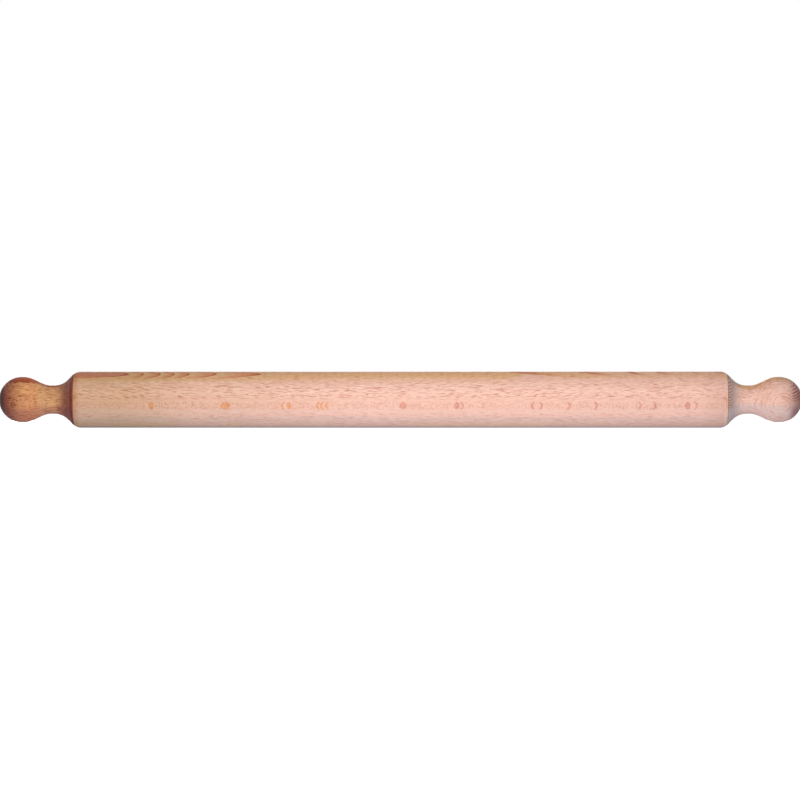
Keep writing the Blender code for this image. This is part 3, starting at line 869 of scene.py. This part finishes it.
def barrel_half():
    """The barrel's section at its right end, from the bore's drill point out to the straight side."""
    bore = INSERT_RADIUS + FIT_GAP
    bore_floor = INSERT_LOW.x - INSERT_BORE_SPARE
    points = [
        (bore_floor - bore / math.tan(DRILL_POINT_ANGLE / 2), 0),
        (bore_floor, bore),
        (BARREL_END - BORE_CHAMFER, bore),
        (BARREL_END, bore + BORE_CHAMFER),
        (BARREL_END, FACE_RADIUS - ARRIS),
    ]
    edge_radius = (EDGE_LENGTH**2 + EDGE_DROP**2) / (2 * EDGE_DROP)
    widest = math.asin((EDGE_LENGTH - ARRIS) / edge_radius)
    for step in range(CURVE_STEPS + 1):
        angle = widest * (1 - step / CURVE_STEPS)
        x = BARREL_END - EDGE_LENGTH + edge_radius * math.sin(angle)
        points.append((x, BARREL_RADIUS - edge_radius * (1 - math.cos(angle))))
    return points


def barrel_outline():
    right = barrel_half()
    start, radius = right[-1]
    steps = range(1, SIDE_STEPS)
    side = [(start * (1 - 2 * step / SIDE_STEPS), radius) for step in steps]
    left = [(-x, r) for x, r in reversed(right)]
    return right + side + left


def ball_arc(smallest, largest):
    """Points on the ball's outer half, from one radius to another, going back from the tip."""
    first = math.asin(smallest / BALL_RADIUS)
    last = math.asin(largest / BALL_RADIUS)
    points = []
    for step in range(CURVE_STEPS + 1):
        angle = first + (last - first) * step / CURVE_STEPS
        points.append((BALL_CENTRE + BALL_RADIUS * math.cos(angle), BALL_RADIUS * math.sin(angle)))
    return points


def knob_outline():
    """The knob's section: ball, waist and cove outside, bore and recesses inside."""
    bore = SLEEVE_RADIUS + FIT_GAP
    recess = WASHER_RADIUS + FIT_GAP
    recess_floor = INNER_BUSH_LOW.x + FLANGE_THICKNESS + FIT_GAP
    counterbore_floor = OUTER_BUSH_HIGH.x - FLANGE_THICKNESS - FIT_GAP
    plug_hole = WASHER_RADIUS + GLUE_LINE
    points = [
        (counterbore_floor, bore),
        (counterbore_floor, recess),
        (PLUG_START - FIT_GAP, recess),
        (PLUG_START - FIT_GAP, plug_hole),
    ]
    points += ball_arc(plug_hole, BALL_RADIUS)

    cove_height = COVE_RADIUS * (1 - math.cos(COVE_ANGLE))
    straight_length = (FACE_RADIUS - NECK_RADIUS - cove_height) / math.tan(COVE_ANGLE)
    cove_start = KNOB_FACE + straight_length + COVE_RADIUS * math.sin(COVE_ANGLE)

    # From the ball to the waist the radius falls along half a cosine wave.
    swell_start = BALL_CENTRE - BALL_LAND
    swell_end = cove_start + NECK_LAND
    for step in range(CURVE_STEPS + 1):
        share = step / CURVE_STEPS
        height = (1 + math.cos(math.pi * share)) / 2
        x = swell_start + (swell_end - swell_start) * share
        points.append((x, NECK_RADIUS + (BALL_RADIUS - NECK_RADIUS) * height))

    for step in range(CURVE_STEPS + 1):
        angle = COVE_ANGLE * step / CURVE_STEPS
        x = cove_start - COVE_RADIUS * math.sin(angle)
        points.append((x, NECK_RADIUS + COVE_RADIUS * (1 - math.cos(angle))))
    points += [
        (KNOB_FACE + ARRIS, FACE_RADIUS - ARRIS * math.tan(COVE_ANGLE)),
        (KNOB_FACE, FACE_RADIUS - 2 * ARRIS),
        (KNOB_FACE, recess),
        (recess_floor, recess),
        (recess_floor, bore),
    ]
    return points


def plug_outline():
    """The plug's section: a straight plug whose end carries on the ball's tip."""
    flat = math.sqrt(BALL_RADIUS**2 - (KNOB_TIP - BALL_CENTRE) ** 2)
    return [
        (KNOB_TIP, 0),
        *ball_arc(flat, WASHER_RADIUS),
        (PLUG_START + BORE_CHAMFER, WASHER_RADIUS),
        (PLUG_START, WASHER_RADIUS - BORE_CHAMFER),
        (PLUG_START, 0),
    ]


# How brown the streaks in each piece of wood are
BARREL_STREAKING = 0.1
LEFT_STREAKING = 0.9
RIGHT_STREAKING = 0.25


def make_wood():
    barrel_wood = beech("barrel_beech", paint_barrel, BARREL_STREAKING, broad=True)
    barrel = turned("turned_barrel", barrel_outline(), barrel_wood)
    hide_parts("barrel")
    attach(barrel, "barrel")
    for side, direction, paint, streaking in (
        ("left", -1, paint_left_knob, LEFT_STREAKING),
        ("right", 1, paint_right_knob, RIGHT_STREAKING),
    ):
        material = beech(f"{side}_knob_beech", paint, streaking)
        knob = turned(f"{side}_turned_knob", knob_outline(), material, direction)
        plug = turned(f"{side}_turned_plug", plug_outline(), material, direction)
        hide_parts(f"{side}_knob")
        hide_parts(f"{side}_end_plug")
        for piece in (knob, plug):
            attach(piece, f"{side}_knob")


# Machined metals: colour, roughness, and how long the fine lines of the machining are along each axis
STEEL = (colour(186, 188, 192), 0.28, (0.00015, 0.004, 0.004))
WASHER_STEEL = (colour(198, 199, 198), 0.34, (0.002, 0.0004, 0.0004))
BRASS = (colour(206, 170, 104), 0.32, (0.0002, 0.004, 0.004))
METAL_DETAIL = 3.0
METAL_NOISE_ROUGHNESS = 0.6
METAL_BRIGHTNESS = (0.3, 0.7, 0.9, 1.05)
METAL_NOISE = (0.3, 0.7)
SMOOTHER = 0.06
ROUGHER = 0.08
METAL_BUMP = (0.2, 0.00002)

# Moulded nylon, with a fine grain
NYLON = colour(232, 230, 222)
NYLON_LENGTHS = (0.0006, 0.0006, 0.0006)
NYLON_DETAIL = 3.0
NYLON_BRIGHTNESS = (0.3, 0.7, 0.97, 1.02)
NYLON_ROUGHNESS = (0.3, 0.7, 0.42, 0.55)
NYLON_BUMP = (0.15, 0.00002)


def metal(name, tone, roughness, brushing):
    material, graph, shader = new_material(name)
    lines = graph.noise(graph.own_place(), brushing, METAL_DETAIL, METAL_NOISE_ROUGHNESS)
    shader.inputs["Metallic"].default_value = 1.0
    base = graph.brighten(tone, graph.ease(lines, *METAL_BRIGHTNESS))
    roughnesses = graph.ease(lines, *METAL_NOISE, roughness - SMOOTHER, roughness + ROUGHER)
    set_surface(graph, shader, base, roughnesses, graph.bump(lines, *METAL_BUMP))
    return material


def nylon():
    material, graph, shader = new_material("bush_nylon")
    grain = graph.noise(graph.own_place(), NYLON_LENGTHS, NYLON_DETAIL)
    base = graph.brighten(NYLON, graph.ease(grain, *NYLON_BRIGHTNESS))
    roughness = graph.ease(grain, *NYLON_ROUGHNESS)
    set_surface(graph, shader, base, roughness, graph.bump(grain, *NYLON_BUMP))
    return material


def finish_hardware():
    steel = metal("ground_steel", *STEEL)
    washer = metal("washer_steel", *WASHER_STEEL)
    brass = metal("insert_brass", *BRASS)
    plastic = nylon()
    finishes = {
        "shoulder_bolt": steel,
        "thrust_washer": washer,
        "head_washer": washer,
        "threaded_insert": brass,
        "inner_bush": plastic,
        "outer_bush": plastic,
    }
    for side in ("left", "right"):
        for piece, material in finishes.items():
            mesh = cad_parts[f"{side}_{piece}"].data
            mesh.materials.clear()
            mesh.materials.append(material)


# The photograph's view: the pin lies level across it, seen from slightly right of its middle
CAMERA_DISTANCE = 3.6
CAMERA_X = 0.064
CAMERA_BELOW_AXIS = 0.0003
SENSOR_WIDTH = 36.0
LENS = 200.0
CLIP_END = 100.0


def make_camera():
    data = bpy.data.cameras.new("camera")
    data.sensor_width = SENSOR_WIDTH
    data.lens = LENS
    data.clip_end = CLIP_END
    camera = bpy.data.objects.new("camera", data)
    camera.location = (CAMERA_X, -CAMERA_DISTANCE, AXIS_HEIGHT - CAMERA_BELOW_AXIS)
    camera.rotation_euler = (math.radians(90), 0, math.atan(CAMERA_X / CAMERA_DISTANCE))
    bpy.context.scene.collection.objects.link(camera)
    bpy.context.scene.camera = camera


# The lamps: name, place, width, height, and how white each makes a white surface that faces it at the pin
LAMPS = (
    ("front_light", (0.03, -0.8, 0.07), 0.4, 0.12, 0.6),
    ("back_light", (-0.1, 1.2, 0.25), 0.8, 0.4, 0.5),
)

# A white surface that squarely faces a lamp of this power at one metre shows as white.
FULL_POWER = math.pi**2

# How bright the even light from all sides is
AMBIENT = 0.36


def soft_light(name, place, width, height, power):
    """A broad lamp that faces the middle of the pin and doesn't show in the picture."""
    data = bpy.data.lights.new(name, "AREA")
    data.shape = "RECTANGLE"
    data.size = width
    data.size_y = height
    data.energy = power
    lamp = bpy.data.objects.new(name, data)
    lamp.location = place
    aim = lamp.location.copy()
    aim.z -= AXIS_HEIGHT
    lamp.rotation_euler = aim.to_track_quat("Z", "Y").to_euler()
    lamp.visible_camera = False
    bpy.context.scene.collection.objects.link(lamp)


def make_lights():
    for name, place, width, height, level in LAMPS:
        distance = math.dist(place, (0, 0, AXIS_HEIGHT))
        soft_light(name, place, width, height, FULL_POWER * level * distance**2)


def seen_directly(graph):
    """1 for rays that show the background itself, straight, mirrored or through glass."""
    path = graph.tree.nodes.new("ShaderNodeLightPath")
    seen = graph.larger(path.outputs["Is Camera Ray"], path.outputs["Is Glossy Ray"])
    return graph.larger(seen, path.outputs["Is Transmission Ray"])


def make_world():
    world = bpy.data.worlds.new("studio")
    world.use_nodes = True
    bpy.context.scene.world = world
    graph = Nodes(world.node_tree)
    background = world.node_tree.nodes["Background"]
    background.inputs["Color"].default_value = (1, 1, 1, 1)
    strength = graph.ease(seen_directly(graph), 0.0, 1.0, AMBIENT, 1.0)
    graph.set(background.inputs["Strength"], strength)


# The pale floor. It glows a little.
FLOOR_SIZE = 40.0
FLOOR_GREY = colour(225, 225, 225)
FLOOR_ROUGHNESS = 0.9
FLOOR_GLOW = 0.12

# How much it glows where it is seen: less near the pin, where the lamps light it too, to keep a soft
# shadow. The distance along the pin counts half.
FAR_GLOW = 0.75
NEAR_GLOW = 0.62
GLOW_DISTANCE = (0.12, 0.55)
GLOW_SCALE = (0.5, 1.0, 1.0)


def make_floor():
    bpy.ops.mesh.primitive_plane_add(size=FLOOR_SIZE)
    floor = bpy.context.object
    floor.name = "floor"
    material, graph, shader = new_material("pale_floor")
    shader.inputs["Base Color"].default_value = FLOOR_GREY
    shader.inputs["Roughness"].default_value = FLOOR_ROUGHNESS
    shader.inputs["Emission Color"].default_value = (1, 1, 1, 1)
    distance = graph.vector("LENGTH", graph.vector("MULTIPLY", graph.own_place(), GLOW_SCALE))
    seen_glow = graph.ease(distance, *GLOW_DISTANCE, NEAR_GLOW, FAR_GLOW)
    glow = graph.ease(seen_directly(graph), 0.0, 1.0, FLOOR_GLOW, seen_glow)
    graph.set(shader.inputs["Emission Strength"], glow)
    floor.data.materials.append(material)


make_camera()
make_wood()
finish_hardware()
make_floor()
make_lights()
make_world()
bpy.context.scene.view_settings.view_transform = "Standard"
